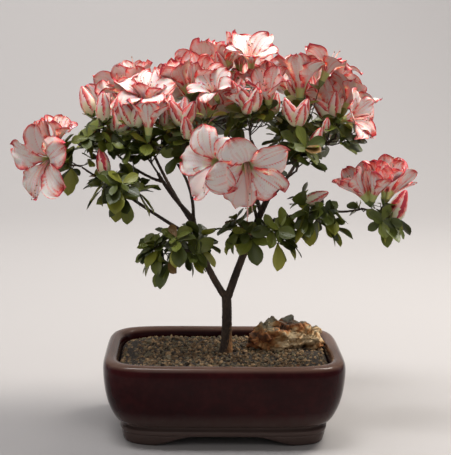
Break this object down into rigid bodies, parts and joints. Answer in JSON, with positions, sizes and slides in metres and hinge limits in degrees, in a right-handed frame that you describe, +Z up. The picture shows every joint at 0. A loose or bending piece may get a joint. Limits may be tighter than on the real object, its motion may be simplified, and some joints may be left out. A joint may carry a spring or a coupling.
{
  "type": "azalea bonsai in a glazed rectangular pot",
  "caption": "Flowering azalea bonsai: a short upright trunk that forks low, spreading boughs with leaf whorls, buds and open blooms, a stone on the soil and a glazed footed pot",
  "frame": {"origin": "middle of the plant's footprint on the surface that the pot stands on", "axes": "+X to the right seen from the front, +Y to the back, +Z up; metres"},
  "size_m": [0.345, 0.2204, 0.3412],
  "materials": {
    "pot_glaze": "glossy oxblood glaze",
    "soil": "baked clay and pumice granules",
    "stone": "rough and weathered",
    "bark": "dull dark bark",
    "leaf_and_blossom": "soft leaves and petals"
  },
  "bodies": {
    "root": {"pot": "pot_glaze", "pot_foot_front_left": "pot_glaze", "pot_foot_front_right": "pot_glaze", "pot_foot_back_left": "pot_glaze", "pot_foot_back_right": "pot_glaze", "soil": "soil", "stone": "stone", "trunk": "bark", "bough_left": "bark", "bough_right": "bark", "bough_left_upper": "bark", "bough_left_outer": "bark", "bough_left_inner": "bark", "bough_left_long": "bark", "bough_left_tip": "bark", "bough_left_mid": "bark", "bough_low_left": "bark", "bough_back_left": "bark", "bough_right_upper": "bark", "bough_centre": "bark", "bough_right_outer": "bark", "bough_front": "bark", "bough_right_mid": "bark", "bough_low_centre": "bark", "bough_right_low": "bark", "bough_right_tip": "bark", "bough_right_leafy": "bark", "bough_back": "bark", "bough_back_right": "bark", "bough_back_low": "bark", "mass_left_tip": "leaf_and_blossom", "mass_left_mid": "leaf_and_blossom", "mass_low_left": "leaf_and_blossom", "mass_far_left": "leaf_and_blossom", "mass_left": "leaf_and_blossom", "mass_mid_left": "leaf_and_blossom", "mass_top": "leaf_and_blossom", "mass_right": "leaf_and_blossom", "mass_far_right": "leaf_and_blossom", "mass_front": "leaf_and_blossom", "mass_right_mid": "leaf_and_blossom", "mass_low_centre": "leaf_and_blossom", "mass_right_low": "leaf_and_blossom", "mass_right_tip": "leaf_and_blossom", "mass_back_left": "leaf_and_blossom", "mass_back": "leaf_and_blossom", "mass_back_right": "leaf_and_blossom", "mass_back_low": "leaf_and_blossom"}
  },
  "joints": []
}
